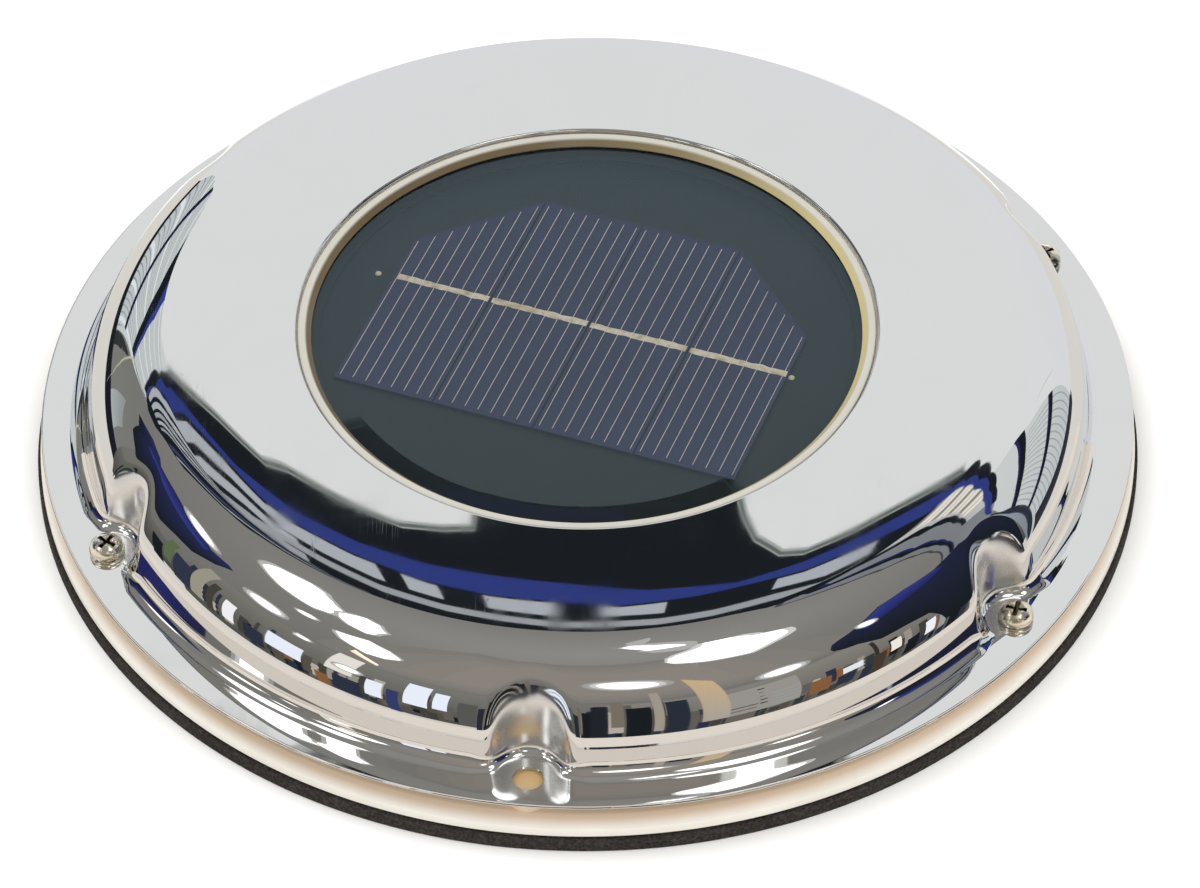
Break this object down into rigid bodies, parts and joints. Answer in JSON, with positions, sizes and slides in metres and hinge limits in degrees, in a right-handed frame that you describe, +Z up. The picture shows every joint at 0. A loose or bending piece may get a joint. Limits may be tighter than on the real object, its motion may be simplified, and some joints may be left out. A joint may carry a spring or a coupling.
{
  "type": "solar roof vent fan",
  "caption": "Low round solar exhaust vent for a roof or deck: polished domed cover with a glazed solar panel, motor-driven impeller, gasket, screened collar and rotary shutter.",
  "frame": {"origin": "centre of the foam gasket's underside, on the plane of the deck or roof", "axes": "+Z up along the dome's and fan's axis, out of the roof; +X to the right as seen from the side of the recess with no screw (-Y)"},
  "size_m": [0.2176, 0.2176, 0.0711],
  "materials": {
    "polished_steel": "mirror-polished stainless steel",
    "screw_steel": "stainless screws, satin with bright edges",
    "motor_steel": "plated steel can",
    "screen_steel": "woven stainless wire",
    "cream_plastic": "moulded, light gloss",
    "white_plastic": "moulded, light gloss",
    "black_plastic": "moulded, fine texture",
    "red_plastic": "moulded",
    "foam": "closed-cell foam",
    "rubber": "moulded rubber",
    "panel_board": "laminate behind the cell",
    "silicon": "dark blue silicon with fine pale conductors",
    "solder": "tinned ribbon",
    "lens_glass": "clear, polished",
    "bronze": "sintered bronze and copper",
    "ferrite": "ferrite magnet",
    "battery_sleeve": "shrink sleeve over a steel can",
    "plated_spring": "nickel plated",
    "wire_red": "soft PVC sleeve",
    "wire_black": "soft PVC sleeve"
  },
  "bodies": {
    "housing": {"dome_cover": "polished_steel", "cover_screw_1": "screw_steel", "cover_screw_2": "screw_steel", "cover_screw_3": "screw_steel", "cover_screw_4": "screw_steel", "cover_screw_5": "screw_steel", "deck_screw_1": "screw_steel", "deck_screw_2": "screw_steel", "deck_screw_3": "screw_steel", "deck_screw_4": "screw_steel", "motor_screw_1": "screw_steel", "motor_screw_2": "screw_steel", "vent_base": "cream_plastic", "panel_tray": "cream_plastic", "window_bezel": "cream_plastic", "motor_mount": "cream_plastic", "shutter_grille": "white_plastic", "trim_ring": "white_plastic", "deck_gasket": "foam", "lens_seal": "rubber", "cell_board": "panel_board", "panel_lens": "lens_glass", "cell_strip_1": "silicon", "cell_strip_2": "silicon", "cell_strip_3": "silicon", "cell_strip_4": "silicon", "cell_ribbon_1": "solder", "cell_ribbon_2": "solder", "cell_ribbon_3": "solder", "cell_ribbon_4": "solder", "motor_can": "motor_steel", "insect_screen": "screen_steel", "motor_end_cap": "black_plastic", "battery_holder": "black_plastic", "switch_body": "black_plastic", "blocking_diode": "black_plastic", "motor_bush_lower": "bronze", "motor_bush_upper": "bronze", "motor_magnet_left": "ferrite", "motor_magnet_right": "ferrite", "battery": "battery_sleeve", "battery_spring": "plated_spring", "battery_contact": "plated_spring", "panel_lead_red": "wire_red", "battery_lead_red": "wire_red", "switch_lead_red": "wire_red", "panel_lead_black": "wire_black"},
    "rotor": {"motor_shaft": "screw_steel", "motor_armature": "motor_steel", "motor_commutator": "bronze", "impeller": "black_plastic", "impeller_clip": "screw_steel"},
    "shutter": {"shutter_disc": "white_plastic", "shutter_knob": "white_plastic", "shutter_washer": "screw_steel"},
    "battery_cover": {"battery_door": "black_plastic"},
    "switch_button": {"switch_slider": "red_plastic"}
  },
  "joints": [
    {"name": "fan_spin", "type": "hinge", "parent": "housing", "child": "rotor", "pos_m": [0, 0, -0.007], "axis": [0, 0, 1], "continuous": true},
    {"name": "shutter_turn", "type": "hinge", "parent": "housing", "child": "shutter", "pos_m": [0, 0, -0.0297], "axis": [0, 0, 1], "range_deg": [0, 30]},
    {"name": "battery_door_slide", "type": "slide", "parent": "housing", "child": "battery_cover", "axis": [0, 1, 0], "range_m": [0, 0.01]},
    {"name": "switch_slide", "type": "slide", "parent": "housing", "child": "switch_button", "axis": [0, 1, 0], "range_m": [0, 0.005]}
  ]
}
